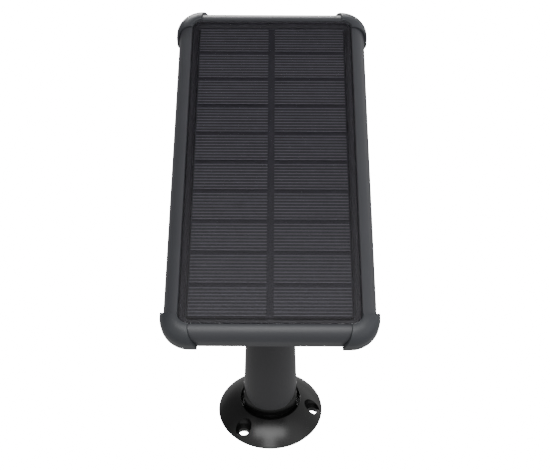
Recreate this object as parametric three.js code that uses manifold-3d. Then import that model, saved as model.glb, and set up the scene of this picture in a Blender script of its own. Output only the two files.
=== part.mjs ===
// Solar charging panel with corner caps, on a two-hinge arm and a swivelling wall base. Millimetres, +Z up.
import * as THREE from 'three';
import { mergeVertices } from 'three/addons/utils/BufferGeometryUtils.js';
import Module from 'manifold-3d';

const wasm = await Module();
wasm.setup();

// Panel, in its own frame: x across, y up the panel, z out of the glass, origin at the glass centre.
const panelWidth = 99.2;
const panelHeight = 189.2;
const cornerRadius = 12.3;
const frontZ = 0.4;
const backZ = -13.4;
const frontRound = { across: 6.5, deep: 6.2 };
const backRound = { across: 3.6, deep: 3.6 };
const windowOffset = -7.0;
const ledgeOffset = -10.8;
const recessOffset = -6.4;
const ledgeTopZ = -4.2;
const recessZ = -10.6;
const gap = 0.3;

const glassThickness = 2.6;
const gasketThickness = 1.0;
const cellRows = 10;
const cellPitch = 16.8;
const cellHeight = 14.7;
const cellWidth = 36.25;
const columnGap = 3.4;
const cellThickness = 0.3;
const cellTopZ = -2.9;
const boardTopZ = -3.5;
const boardThickness = 1.6;

const capProud = { across: 1.2, front: 0.9, back: 1.4 };
const capRunFront = -0.6;
const capRunBack = 3.4;

const coverThickness = 2.4;
const coverBottomZ = -13.3;
const coverTopZ = coverBottomZ + coverThickness;

// Hinges and arm.
const hingeHeight = 107;
const hingeDrop = 26;
const hingeBelowCentre = 45;
const panelTiltDeg = 25;
const knuckleHeight = 14.5;
const eyeRadius = 8.5;
const tongueHalf = 3.6;
const washerIn = 3.9;
const washerOut = 4.9;
const slotHalf = 5.2;
const earOut = 10.6;
const boltRadius = 2.4;
const boltHoleRadius = 2.7;
const armBottomRadius = 14.69;
const armTopRadius = 11.68;
const armBottomZ = 16.4;
const armTopZ = 93;

// Knuckle and wall base.
const saddleRadius = 14.6;
const saddleBoss = 2.9;
const saddleSlope = 0.5;
const sideRise = 8.7;
const cheekX = 14.6;
const lowerEyeRadius = 6.8;
const neckHalf = 4.5;
const tiltLimitDeg = 20;
const tableRadius = 15.2;
const wellRadius = 16.4;
const wellFloorZ = 6.2;
const floorBottomZ = 4.2;
const stubRadius = 7.5;
const baseRadius = 29;
const baseBottomZ = 1.5;
const rimZ = 2.3;
const domeRadius = 40;
const domeSteps = 8;
const screwCircle = 23.5;
const screwHoleRadius = 2.6;
const counterboreRadius = 4.3;
const counterboreZ = 3.3;
const screwAnglesDeg = [-8, 112, 232];
const padThickness = 1.2;

const group = new THREE.Group();
group.name = 'solar_panel_on_bracket';
const degree = Math.PI / 180;

// Solid helpers.
function meshOf(points, triangles) {
  const geometry = new THREE.BufferGeometry();
  geometry.setAttribute('position', new THREE.Float32BufferAttribute(points.flat(), 3));
  geometry.setIndex(triangles.flat());
  return geometry;
}

function welded(geometry) {
  const copy = geometry.clone();
  copy.deleteAttribute('normal');
  copy.deleteAttribute('uv');
  return mergeVertices(copy, 1e-4);
}

function toSolid(geometry) {
  const merged = welded(geometry);
  return new wasm.Manifold(new wasm.Mesh({
    numProp: 3,
    vertProperties: new Float32Array(merged.attributes.position.array),
    triVerts: new Uint32Array(merged.index.array),
  }));
}

function toGeometry(solid) {
  const mesh = solid.getMesh();
  const geometry = new THREE.BufferGeometry();
  const points = new Float32Array(mesh.numVert * 3);
  for (let i = 0; i < mesh.numVert; i += 1) {
    for (let k = 0; k < 3; k += 1) {
      points[3 * i + k] = mesh.vertProperties[mesh.numProp * i + k];
    }
  }
  geometry.setAttribute('position', new THREE.BufferAttribute(points, 3));
  geometry.setIndex(new THREE.BufferAttribute(new Uint32Array(mesh.triVerts), 1));
  return geometry;
}

// Turns a closed counter-clockwise profile of [radius, height] points about Z.
function revolve(profile, segments) {
  const points = [];
  const rings = profile.map(([radius, height]) => {
    if (radius < 1e-9) {
      points.push([0, 0, height]);
      return new Array(segments).fill(points.length - 1);
    }
    const ring = [];
    for (let i = 0; i < segments; i += 1) {
      const angle = (2 * Math.PI * i) / segments;
      points.push([radius * Math.cos(angle), radius * Math.sin(angle), height]);
      ring.push(points.length - 1);
    }
    return ring;
  });
  const triangles = [];
  rings.forEach((low, k) => {
    const high = rings[(k + 1) % rings.length];
    for (let i = 0; i < segments; i += 1) {
      const j = (i + 1) % segments;
      if (low[i] !== low[j]) {
        triangles.push([low[i], low[j], high[j]]);
      }
      if (high[i] !== high[j]) {
        triangles.push([low[i], high[j], high[i]]);
      }
    }
  });
  return meshOf(points, triangles);
}

function rod(radius, low, high, segments = 32) {
  return revolve([[0, low], [radius, low], [radius, high], [0, high]], segments);
}

function tube(inner, outer, low, high, segments = 32) {
  return revolve([[inner, low], [outer, low], [outer, high], [inner, high]], segments);
}

function block(lowX, highX, lowY, highY, lowZ, highZ) {
  const geometry = new THREE.BoxGeometry(highX - lowX, highY - lowY, highZ - lowZ);
  return geometry.translate((lowX + highX) / 2, (lowY + highY) / 2, (lowZ + highZ) / 2);
}

// Lays a solid built about Z along X, so that its heights become x positions.
function alongX(geometry) {
  return geometry.rotateY(Math.PI / 2);
}

function atPoint(geometry, x, y, z = 0) {
  return geometry.translate(x, y, z);
}

function roundedShape(halfX, halfY, radius, segments = 8) {
  const shape = new THREE.Shape();
  const corners = [[1, -1, -90], [1, 1, 0], [-1, 1, 90], [-1, -1, 180]];
  corners.forEach(([sideX, sideY, startDeg], index) => {
    for (let k = 0; k <= segments; k += 1) {
      const angle = (startDeg + (90 * k) / segments) * degree;
      const x = sideX * (halfX - radius) + radius * Math.cos(angle);
      const y = sideY * (halfY - radius) + radius * Math.sin(angle);
      if (index === 0 && k === 0) {
        shape.moveTo(x, y);
      } else {
        shape.lineTo(x, y);
      }
    }
  });
  return shape;
}

function prism(shape, low, high) {
  const geometry = new THREE.ExtrudeGeometry(shape, { depth: high - low, bevelEnabled: false });
  return geometry.translate(0, 0, low);
}

function hexPrism(radius, low, high) {
  const shape = new THREE.Shape();
  for (let i = 0; i < 6; i += 1) {
    const angle = (60 * i + 30) * degree;
    const point = [radius * Math.cos(angle), radius * Math.sin(angle)];
    if (i === 0) {
      shape.moveTo(...point);
    } else {
      shape.lineTo(...point);
    }
  }
  return prism(shape, low, high);
}

// Stations round the panel's outline: position and outward direction.
function outlineStations(cornerIndex, segments) {
  const startDeg = 90 * cornerIndex;
  const sideX = cornerIndex === 0 || cornerIndex === 3 ? 1 : -1;
  const sideY = cornerIndex < 2 ? 1 : -1;
  const centre = [
    sideX * (panelWidth / 2 - cornerRadius),
    sideY * (panelHeight / 2 - cornerRadius),
  ];
  const stations = [];
  for (let k = 0; k <= segments; k += 1) {
    const angle = (startDeg + (90 * k) / segments) * degree;
    const out = [Math.cos(angle), Math.sin(angle)];
    stations.push({
      at: [centre[0] + cornerRadius * out[0], centre[1] + cornerRadius * out[1]],
      out,
      along: [-out[1], out[0]],
    });
  }
  return stations;
}

// Sweeps a clockwise profile of [offset, z] points through the stations, closed or with flat ends.
function sweep(stations, profile, closed, shift = () => 0) {
  const points = [];
  stations.forEach((station, index) => {
    profile.forEach(([offset, z]) => {
      const slide = shift(index, z);
      points.push([
        station.at[0] + station.out[0] * offset + station.along[0] * slide,
        station.at[1] + station.out[1] * offset + station.along[1] * slide,
        z,
      ]);
    });
  });
  const count = profile.length;
  const triangles = [];
  const last = closed ? stations.length : stations.length - 1;
  for (let s = 0; s < last; s += 1) {
    const here = s * count;
    const next = ((s + 1) % stations.length) * count;
    for (let k = 0; k < count; k += 1) {
      const m = (k + 1) % count;
      triangles.push([here + k, here + m, next + m]);
      triangles.push([here + k, next + m, next + k]);
    }
  }
  if (!closed) {
    const contour = profile.map(([offset, z]) => new THREE.Vector2(offset, z));
    const faces = THREE.ShapeUtils.triangulateShape(contour, []);
    const end = (stations.length - 1) * count;
    faces.forEach(([a, b, c]) => {
      triangles.push([a, b, c]);
      triangles.push([end + a, end + c, end + b]);
    });
  }
  return meshOf(points, triangles);
}

// Quarter ellipse of [offset, z] points about a centre.
function quarterArc(centre, across, deep, startDeg, endDeg, segments) {
  const points = [];
  for (let k = 0; k <= segments; k += 1) {
    const angle = (startDeg + ((endDeg - startDeg) * k) / segments) * degree;
    points.push([centre[0] + across * Math.cos(angle), centre[1] + deep * Math.sin(angle)]);
  }
  return points;
}

const panelPlace = new THREE.Matrix4()
  .makeTranslation(0, 0, hingeHeight)
  .multiply(new THREE.Matrix4().makeRotationX(panelTiltDeg * degree))
  .multiply(new THREE.Matrix4().makeTranslation(0, hingeBelowCentre, hingeDrop));

function addNode(name, geometry, color, onPanel = false) {
  const finished = welded(geometry);
  if (onPanel) {
    finished.applyMatrix4(panelPlace);
  }
  finished.computeVertexNormals();
  const mesh = new THREE.Mesh(finished, new THREE.MeshStandardMaterial({ color, roughness: 0.5 }));
  mesh.name = name;
  group.add(mesh);
}

const addPanelNode = (name, geometry, color) => addNode(name, geometry, color, true);

// Bezel frame: bullnose outside, window and ledge inside, a recess behind for the rear cover.
const frontCentre = [-frontRound.across, frontZ - frontRound.deep];
const backCentre = [-backRound.across, backZ + backRound.deep];
const bezelProfile = [
  [windowOffset, frontZ - 0.3],
  ...quarterArc(frontCentre, frontRound.across, frontRound.deep, 90, 0, 5),
  ...quarterArc(backCentre, backRound.across, backRound.deep, 0, -90, 4),
  [recessOffset, backZ],
  [recessOffset, recessZ],
  [ledgeOffset, recessZ],
  [ledgeOffset, ledgeTopZ],
  [windowOffset, ledgeTopZ],
];
const ringStations = [0, 1, 2, 3].flatMap((corner) => outlineStations(corner, 6));

const coverScrewX = 40.4;
const coverScrewYs = [-72, 72];
const coverScrews = coverScrewYs.flatMap((y) => [[-coverScrewX, y], [coverScrewX, y]]);
let bezel = toSolid(sweep(ringStations, bezelProfile, true));
coverScrews.forEach(([x, y]) => {
  bezel = bezel.subtract(toSolid(atPoint(rod(1.2, recessZ - 1, -6.6, 12), x, y)));
});
addPanelNode('bezel_frame', toGeometry(bezel), 0x4c4d51);

// Glass, gasket, board and cells.
const windowHalf = [panelWidth / 2 + windowOffset, panelHeight / 2 + windowOffset];
const glassHalf = [windowHalf[0] - gap, windowHalf[1] - gap];
const glassRadius = cornerRadius + windowOffset - gap;
addPanelNode('cover_glass', prism(roundedShape(glassHalf[0], glassHalf[1], glassRadius), -glassThickness, 0),
  0x2a2a30);

const gasketShape = roundedShape(glassHalf[0] - 0.3, glassHalf[1] - 0.3, glassRadius - 0.3);
const gasketInner = [glassHalf[0] - 3.1, glassHalf[1] - 3.1];
gasketShape.holes.push(roundedShape(gasketInner[0], gasketInner[1], 1.8));
const gasketTopZ = -glassThickness - gap;
addPanelNode('glass_gasket', prism(gasketShape, gasketTopZ - gasketThickness, gasketTopZ), 0x1a1a1a);

const boardHalf = [panelWidth / 2 + ledgeOffset - gap, panelHeight / 2 + ledgeOffset - gap];
const boardShape = roundedShape(boardHalf[0], boardHalf[1], 1.2, 3);
addPanelNode('cell_board', prism(boardShape, boardTopZ - boardThickness, boardTopZ), 0x202024);

const cellStartY = (cellRows / 2) * cellPitch - (cellPitch - cellHeight) / 2;
for (let row = 0; row < cellRows; row += 1) {
  const top = cellStartY - row * cellPitch;
  [['left', -1], ['right', 1]].forEach(([side, sign]) => {
    const inner = sign * (columnGap / 2);
    const outer = sign * (columnGap / 2 + cellWidth);
    const cell = block(Math.min(inner, outer), Math.max(inner, outer), top - cellHeight, top,
      cellTopZ - cellThickness, cellTopZ);
    addPanelNode(`solar_cell_${side}_${String(row + 1).padStart(2, '0')}`, cell, 0x3c3c42);
  });
}

[['left', -1], ['right', 1]].forEach(([side, sign]) => {
  const ribbon = block(sign * 20 - 2, sign * 20 + 2, -80, 80, -5.7, -5.4);
  addPanelNode(`bus_ribbon_${side}`, ribbon, 0xb8b8b4);
});

// Corner caps: the bullnose grown outwards, swept round each corner, with slanted ends.
const capOuterFront = quarterArc(frontCentre, frontRound.across + capProud.across,
  frontRound.deep + capProud.front, 90, 0, 5);
const capOuterBack = quarterArc(backCentre, backRound.across + capProud.across,
  backRound.deep + capProud.back, 0, -90, 4);
const capInnerBack = quarterArc(backCentre, backRound.across + gap, backRound.deep + gap, -90, 0, 4);
const capInnerFront = quarterArc(frontCentre, frontRound.across + gap, frontRound.deep + gap, 0, 90, 5);
const capProfile = [
  [windowOffset + 0.1, frontZ + gap],
  [windowOffset + 0.1, frontZ + 0.7],
  ...capOuterFront,
  ...capOuterBack,
  ...capInnerBack,
  ...capInnerFront,
];
const capSegments = 7;
['top_right', 'top_left', 'bottom_left', 'bottom_right'].forEach((corner, index) => {
  const stations = outlineStations(index, capSegments);
  const shift = (station, z) => {
    const depth = (frontZ + 1 - z) / (frontZ + 1 - backZ);
    const run = capRunFront + (capRunBack - capRunFront) * Math.min(1, 1.6 * depth);
    if (station === 0) {
      return -run;
    }
    return station === capSegments ? run : 0;
  };
  addPanelNode(`corner_cap_${corner}`, sweep(stations, capProfile, false, shift), 0x444446);
});

// Rear cover, its screws, and what it carries.
const coverHalf = [
  panelWidth / 2 + recessOffset - gap,
  panelHeight / 2 + recessOffset - gap,
];
const bracketScrews = [[-19, -57], [19, -57], [-19, -33], [19, -33]];
const boardPosts = [[-17, -5], [17, -5], [-17, 17], [17, 17]];
const glandY = 40;
let cover = toSolid(prism(roundedShape(coverHalf[0], coverHalf[1], cornerRadius + recessOffset - gap),
  coverBottomZ, coverTopZ));
bracketScrews.forEach(([x, y]) => {
  cover = cover.add(toSolid(atPoint(rod(3.4, coverTopZ - 1, -8.6, 16), x, y)));
  cover = cover.subtract(toSolid(atPoint(rod(1.7, coverBottomZ - 1, -8, 12), x, y)));
});
boardPosts.forEach(([x, y]) => {
  cover = cover.add(toSolid(atPoint(rod(2.2, coverTopZ - 1, -10.5, 12), x, y)));
});
coverScrews.forEach(([x, y]) => {
  cover = cover.subtract(toSolid(atPoint(rod(1.2, coverBottomZ - 1, coverTopZ + 1, 12), x, y)));
  cover = cover.subtract(toSolid(atPoint(rod(2.1, coverBottomZ - 1, coverBottomZ + 1.5, 14), x, y)));
});
cover = cover.subtract(toSolid(atPoint(rod(4.5, coverBottomZ - 1, coverTopZ + 1, 24), 0, glandY)));
addPanelNode('rear_cover', toGeometry(cover), 0x3a3b3e);

// Pan-head screw with a cross recess; the head is at the low end and the shank points up.
function crossScrew(headRadius, headLow, headHigh, shankRadius, shankHigh) {
  const chamfer = 0.35 * (headHigh - headLow);
  let screw = toSolid(revolve([
    [0, headLow],
    [headRadius - chamfer, headLow],
    [headRadius, headLow + chamfer],
    [headRadius, headHigh],
    [shankRadius, headHigh],
    [shankRadius, shankHigh],
    [0, shankHigh],
  ], 12));
  const reach = 0.6 * headRadius;
  const slot = 0.14 * headRadius;
  const deep = headLow + 0.55 * (headHigh - headLow);
  screw = screw.subtract(toSolid(block(-reach, reach, -slot, slot, headLow - 1, deep)));
  screw = screw.subtract(toSolid(block(-slot, slot, -reach, reach, headLow - 1, deep)));
  return toGeometry(screw);
}

coverScrews.forEach(([x, y], index) => {
  const screw = crossScrew(1.8, coverBottomZ, -11.9, 0.9, -7.2);
  addPanelNode(`cover_screw_${index + 1}`, atPoint(screw, x, y), 0x8c8c90);
});

addPanelNode('regulator_board', block(-20, 20, -8, 20, -10.2, -8.6), 0x1d5a34);
addPanelNode('regulator_chip', block(-5, 5, 1, 11, -8.3, -6.9), 0x151515);

const glandOuter = [
  [3.2, -20.6],
  [4.6, -20.6],
  [5.2, -20.0],
  [5.2, -15.6],
  [7.2, -15.6],
  [7.2, -13.6],
  [4.2, -13.6],
  [4.2, -8.2],
  [3.2, -8.2],
];
addPanelNode('cable_gland', atPoint(revolve(glandOuter, 28), 0, glandY), 0x2b2b2d);
addPanelNode('cable_grommet', atPoint(tube(1.8, 2.9, -20.3, -12, 20), 0, glandY), 0x161616);
const glandNut = toSolid(hexPrism(7.4, -10.6, -8.4)).subtract(toSolid(rod(4.5, -12, -7, 24)));
addPanelNode('gland_nut', atPoint(toGeometry(glandNut), 0, glandY), 0x2b2b2d);

// Bracket on the rear cover, with the upper hinge's tongue.
const plateTopZ = coverBottomZ - gap;
const plateBottomZ = plateTopZ - 3;
const plate = prism(roundedShape(24, 17, 4, 5), plateBottomZ, plateTopZ).translate(0, -hingeBelowCentre, 0);
let bracket = toSolid(plate);
const tongueWeb = block(-tongueHalf, tongueHalf, -eyeRadius, eyeRadius, -hingeDrop, plateBottomZ + 1);
const tongueEye = alongX(rod(eyeRadius, -tongueHalf, tongueHalf, 32)).translate(0, 0, -hingeDrop);
bracket = bracket.add(toSolid(tongueWeb.translate(0, -hingeBelowCentre, 0)));
bracket = bracket.add(toSolid(tongueEye.translate(0, -hingeBelowCentre, 0)));
const bracketBore = alongX(rod(boltHoleRadius, -10, 10, 24)).translate(0, -hingeBelowCentre, -hingeDrop);
bracket = bracket.subtract(toSolid(bracketBore));
bracketScrews.forEach(([x, y]) => {
  bracket = bracket.subtract(toSolid(atPoint(rod(1.7, plateBottomZ - 1, plateTopZ + 1, 12), x, y)));
});
addPanelNode('panel_bracket', toGeometry(bracket), 0x3c3c3f);
bracketScrews.forEach(([x, y], index) => {
  const screw = crossScrew(2.8, plateBottomZ - gap - 1.5, plateBottomZ - gap, 1.4, -9.2);
  addPanelNode(`bracket_screw_${index + 1}`, atPoint(screw, x, y), 0x8c8c90);
});

// Hinge bolt along X: hex-socket head at one end, hex nut at the other.
function socketBolt(headFrom, headTo, shankTo) {
  const low = Math.min(headFrom, headTo);
  const high = Math.max(headFrom, headTo);
  const sign = Math.sign(headTo - headFrom);
  let bolt = toSolid(rod(4.2, low, high, 24));
  const shankFrom = headFrom + 0.5 * sign;
  const shank = rod(boltRadius, Math.min(shankFrom, shankTo), Math.max(shankFrom, shankTo), 20);
  bolt = bolt.add(toSolid(shank));
  const socketLow = sign > 0 ? headTo - 1.9 : headTo - 1;
  const socketHigh = sign > 0 ? headTo + 1 : headTo + 1.9;
  return toGeometry(bolt.subtract(toSolid(hexPrism(2.2, socketLow, socketHigh))));
}

function nut(low, high) {
  const bore = toSolid(rod(boltHoleRadius, low - 1, high + 1, 20));
  return toGeometry(toSolid(hexPrism(4.3, low, high)).subtract(bore));
}

function addHinge(prefix, height, washerRadius, boltGeometry, nutGeometry) {
  addNode(`${prefix}_bolt`, alongX(boltGeometry).translate(0, 0, height), 0x9a9a9e);
  addNode(`${prefix}_nut`, alongX(nutGeometry).translate(0, 0, height), 0x9a9a9e);
  [['left', -washerOut, -washerIn], ['right', washerIn, washerOut]].forEach(([side, low, high]) => {
    const washer = alongX(tube(boltHoleRadius, washerRadius, low, high, 24)).translate(0, 0, height);
    addNode(`${prefix}_washer_${side}`, washer, 0xd8d4c8);
  });
}

addHinge('upper_hinge', hingeHeight, 7.6, socketBolt(earOut + gap, earOut + gap + 4, -14),
  nut(-earOut - gap - 3.6, -earOut - gap));

// Arm: a tapered tube cut to a saddle below, a fork above, and a tongue inside the saddle.
function armRadiusAt(z) {
  return armBottomRadius + ((armTopRadius - armBottomRadius) * (z - armBottomZ)) / (armTopZ - armBottomZ);
}

// Radius of the joint's barrel about X: the arm's rim drops from sideRise at its sides by saddleSlope
// times its depth, so the barrel that fits inside it follows the same curve.
function barrelRadiusAt(x) {
  const depth = Math.sqrt(Math.max(saddleBoss ** 2, saddleRadius ** 2 - x ** 2));
  return Math.hypot(depth, sideRise - saddleSlope * depth);
}

function barrel(shrink) {
  const profile = [[0, -16]];
  const steps = 22;
  for (let k = 0; k <= steps; k += 1) {
    const x = -16 * Math.cos((Math.PI * k) / steps);
    profile.push([barrelRadiusAt(x) - shrink, x]);
  }
  profile.push([0, 16]);
  return alongX(revolve(profile, 36)).translate(0, 0, knuckleHeight);
}

let arm = toSolid(revolve([
  [0, armBottomZ],
  [armBottomRadius, armBottomZ],
  [armTopRadius, armTopZ],
  [armTopRadius - 1.2, armTopZ + 2],
  [0, armTopZ + 2],
], 40));
arm = arm.subtract(toSolid(barrel(0)));
const fork = toSolid(block(-earOut, earOut, -eyeRadius, eyeRadius, armTopZ, hingeHeight))
  .add(toSolid(alongX(rod(eyeRadius, -earOut, earOut, 32)).translate(0, 0, hingeHeight)))
  .intersect(toSolid(rod(armRadiusAt(armTopZ) - 0.2, armTopZ - 5, hingeHeight + 20, 40)));
arm = arm.add(fork);
const forkSlotFloor = hingeHeight - eyeRadius - 1.2;
arm = arm.subtract(toSolid(block(-slotHalf, slotHalf, -20, 20, forkSlotFloor, hingeHeight + 20)));
arm = arm.subtract(toSolid(alongX(rod(boltHoleRadius, -20, 20, 24)).translate(0, 0, hingeHeight)));
arm = arm.subtract(toSolid(rod(4.6, 36, hingeHeight, 24)));
const neck = toSolid(block(-tongueHalf, tongueHalf, -neckHalf, neckHalf, knuckleHeight, knuckleHeight + 18));
const lowerEyeRod = alongX(rod(lowerEyeRadius, -tongueHalf, tongueHalf, 28));
const lowerEye = toSolid(lowerEyeRod.translate(0, 0, knuckleHeight));
arm = arm.add(neck).add(lowerEye);
arm = arm.subtract(toSolid(alongX(rod(boltHoleRadius, -8, 8, 24)).translate(0, 0, knuckleHeight)));
addNode('arm', toGeometry(arm), 0x363638);

// Knuckle: a barrel across the arm on a round turntable, slotted for the arm's tongue.
function tongueSweep() {
  const shape = new THREE.Shape();
  const half = neckHalf + gap;
  const limit = (tiltLimitDeg + 1) * degree;
  const turned = (y, z, angle) => [
    y * Math.cos(angle) - z * Math.sin(angle),
    y * Math.sin(angle) + z * Math.cos(angle),
  ];
  const corners = [turned(half, 0, -limit), turned(half, 20, -limit), [0, 24]];
  corners.push(turned(-half, 20, limit), turned(-half, 0, limit));
  shape.moveTo(...corners[0]);
  corners.slice(1).forEach((corner) => shape.lineTo(...corner));
  const slab = prism(shape, -slotHalf, slotHalf);
  slab.rotateX(Math.PI / 2);
  slab.rotateZ(Math.PI / 2);
  return slab.translate(0, 0, knuckleHeight);
}

let knuckle = toSolid(barrel(gap));
knuckle = knuckle.intersect(toSolid(block(-cheekX, cheekX, -20, 20, wellFloorZ + gap, 40)));
knuckle = knuckle.intersect(toSolid(rod(tableRadius, wellFloorZ, 40, 40)));
knuckle = knuckle.add(toSolid(rod(tableRadius, wellFloorZ + gap, wellFloorZ + gap + 1.5, 40)));
knuckle = knuckle.add(toSolid(rod(stubRadius, floorBottomZ + 0.05, wellFloorZ + 1, 32)));
knuckle = knuckle.subtract(toSolid(tongueSweep()));
const washerRoom = alongX(rod(lowerEyeRadius + gap, -slotHalf, slotHalf, 28)).translate(0, 0, knuckleHeight);
knuckle = knuckle.subtract(toSolid(washerRoom));
knuckle = knuckle.subtract(toSolid(alongX(rod(boltHoleRadius, -20, 20, 24)).translate(0, 0, knuckleHeight)));
[-1, 1].forEach((sign) => {
  const seat = sign > 0 ? rod(4.6, 11.2, 20, 24) : rod(4.6, -20, -11.2, 24);
  knuckle = knuckle.subtract(toSolid(alongX(seat).translate(0, 0, knuckleHeight)));
});
knuckle = knuckle.subtract(toSolid(rod(2.3, 0, 9, 20)));
addNode('knuckle', toGeometry(knuckle), 0x141414);

addHinge('pivot', knuckleHeight, 6.4, socketBolt(11.5, 14.3, -13.4), nut(-14.2, -11.5));

// Wall base: a spherical dome with a well for the knuckle and three counterbored holes.
function domeHeight(radius) {
  return rimZ + Math.sqrt(domeRadius ** 2 - radius ** 2) - Math.sqrt(domeRadius ** 2 - baseRadius ** 2);
}

const domeProfile = [
  [12, baseBottomZ],
  [baseRadius - 0.5, baseBottomZ],
  [baseRadius, baseBottomZ + 0.5],
];
const lipRadius = wellRadius + 0.5;
for (let k = 0; k < domeSteps; k += 1) {
  const radius = baseRadius + (k / domeSteps) * (lipRadius - baseRadius);
  domeProfile.push([radius, domeHeight(radius)]);
}
const lipZ = domeHeight(lipRadius);
domeProfile.push(
  [lipRadius, lipZ],
  [wellRadius, lipZ - 0.4],
  [wellRadius, wellFloorZ],
  [stubRadius + gap, wellFloorZ],
  [stubRadius + gap, floorBottomZ],
  [12, floorBottomZ],
);
let base = toSolid(revolve(domeProfile, 48));
const screwSpots = screwAnglesDeg.map((angle) => [
  screwCircle * Math.cos(angle * degree),
  screwCircle * Math.sin(angle * degree),
]);
let pad = toSolid(rod(baseRadius - 1, 0, padThickness, 40));
screwSpots.forEach(([x, y]) => {
  base = base.subtract(toSolid(atPoint(rod(screwHoleRadius, 0, 20, 16), x, y)));
  base = base.subtract(toSolid(atPoint(rod(counterboreRadius, counterboreZ, 20, 20), x, y)));
  pad = pad.subtract(toSolid(atPoint(rod(screwHoleRadius + 0.4, -1, 3, 16), x, y)));
});
addNode('base_flange', toGeometry(base), 0x161616);
addNode('wall_pad', toGeometry(pad), 0x242424);

addNode('knuckle_washer', tube(2.3, 10.5, 2.95, 3.9, 32), 0x9a9a9e);
addNode('knuckle_screw', crossScrew(3.9, 1.55, 2.65, 1.9, 7.0), 0x8c8c90);

export default group;
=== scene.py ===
# Solar charging panel with corner caps on a two-hinge arm and a swivelling wall base.
import math

import bmesh
import bpy
import numpy as np
from mathutils import Matrix


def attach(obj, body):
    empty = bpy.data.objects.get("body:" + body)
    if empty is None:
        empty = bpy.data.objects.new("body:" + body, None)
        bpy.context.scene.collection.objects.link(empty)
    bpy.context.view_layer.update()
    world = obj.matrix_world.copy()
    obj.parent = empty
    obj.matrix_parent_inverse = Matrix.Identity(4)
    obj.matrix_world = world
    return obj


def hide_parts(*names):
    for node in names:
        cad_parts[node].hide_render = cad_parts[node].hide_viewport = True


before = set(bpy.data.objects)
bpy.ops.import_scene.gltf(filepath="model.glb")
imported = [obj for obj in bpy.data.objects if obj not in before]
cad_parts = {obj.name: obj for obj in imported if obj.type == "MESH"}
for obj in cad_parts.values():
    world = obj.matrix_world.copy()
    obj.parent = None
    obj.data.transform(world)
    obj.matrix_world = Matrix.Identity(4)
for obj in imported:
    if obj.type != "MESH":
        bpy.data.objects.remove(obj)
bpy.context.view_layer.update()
mm = 0.001

# camera, floor and light

cameraView = {
    "place": (2.19, -380.1, 419.7),  # mm, in front of the object and above it
    "lookDown": 37.74,  # degrees below the horizon
    "roll": 0.25,
    "lens": 64.47,
}


# Looks straight along +Y, turned down and then rolled
def makeCamera(view):
    down, roll = math.radians(view["lookDown"]), math.radians(view["roll"])
    ahead = np.array([0, math.cos(down), -math.sin(down)])
    above = np.array([0, math.sin(down), math.cos(down)])
    across = np.array([1.0, 0, 0])
    right = math.cos(roll) * across + math.sin(roll) * above
    upward = -math.sin(roll) * across + math.cos(roll) * above
    data = bpy.data.cameras.new("camera")
    data.lens, data.sensor_width = view["lens"], 36
    data.clip_start, data.clip_end = 0.01, 20
    camera = bpy.data.objects.new("camera", data)
    turn = Matrix([list(row) for row in np.column_stack([right, upward, -ahead])])
    camera.matrix_world = Matrix.Translation([v * mm for v in view["place"]]) @ turn.to_4x4()
    bpy.context.collection.objects.link(camera)
    bpy.context.scene.camera = camera


makeCamera(cameraView)


# Adds one shader node: settings are its properties, values its inputs, each a value or a socket to link
def addNode(tree, kind, settings=None, values=None):
    node = tree.nodes.new(kind)
    for key, value in (settings or {}).items():
        setattr(node, key, value)
    for key, value in (values or {}).items():
        socket = node.inputs[key]
        if isinstance(value, bpy.types.NodeSocket):
            tree.links.new(value, socket)
        else:
            socket.default_value = value
    return node


# sRGB hex to linear red, green, blue and alpha
def hexColour(text):
    parts = np.array([int(text[i : i + 2], 16) for i in (1, 3, 5)]) / 255
    linear = np.where(parts <= 0.04045, parts / 12.92, ((parts + 0.055) / 1.055) ** 2.4)
    return (*linear.tolist(), 1.0)


studio = {
    "backdrop": 18.0,  # the pale floor and backdrop, as the lens sees them
    "floorGlow": 0.45,  # what the floor gives the object
    "room": 0.10,  # even light from all round
    "floorReach": 6.0,  # m
    "floorDrop": 0.0004,  # m below the object, so that the two never share a plane
    "aim": (0, 0.02, 0.1),  # m, what the softboxes point at
    "hiddenInGloss": ("rightBox", "leftBox"),
}
# soft light from broad walls of the room: way, the cosines at which it starts and is full, strength
glows = {
    "front": ((0.0, -0.96, 0.28), 0.06, 0.64, 0.85),
    "right": ((0.98, 0.10, 0.15), 0.20, 0.95, 0.70),
    "left": ((-0.98, 0.05, 0.20), 0.50, 0.98, 0.14),
    "behind": ((0.25, 0.86, -0.44), 0.20, 0.95, 0.55),
}
# places and sizes in m, power in W; the dome mirrors the wide box above the narrow one,
# and the back box rims the panel's top edge
softboxes = {
    "wideBox": {"place": (-0.01, -0.64, 1.18), "size": (1.25, 0.36), "power": 6.5},
    "narrowBox": {"place": (-0.02, -0.93, 0.93), "size": (0.42, 0.50), "power": 2.2},
    "backBox": {"place": (-0.16, 1.05, 0.68), "size": (0.7, 0.40), "power": 11},
    "rightBox": {"place": (1.05, -0.05, 0.42), "size": (0.35, 0.70), "power": 5},
    "leftBox": {"place": (-1.1, -0.1, 0.40), "size": (0.25, 0.60), "power": 1},
}


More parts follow.
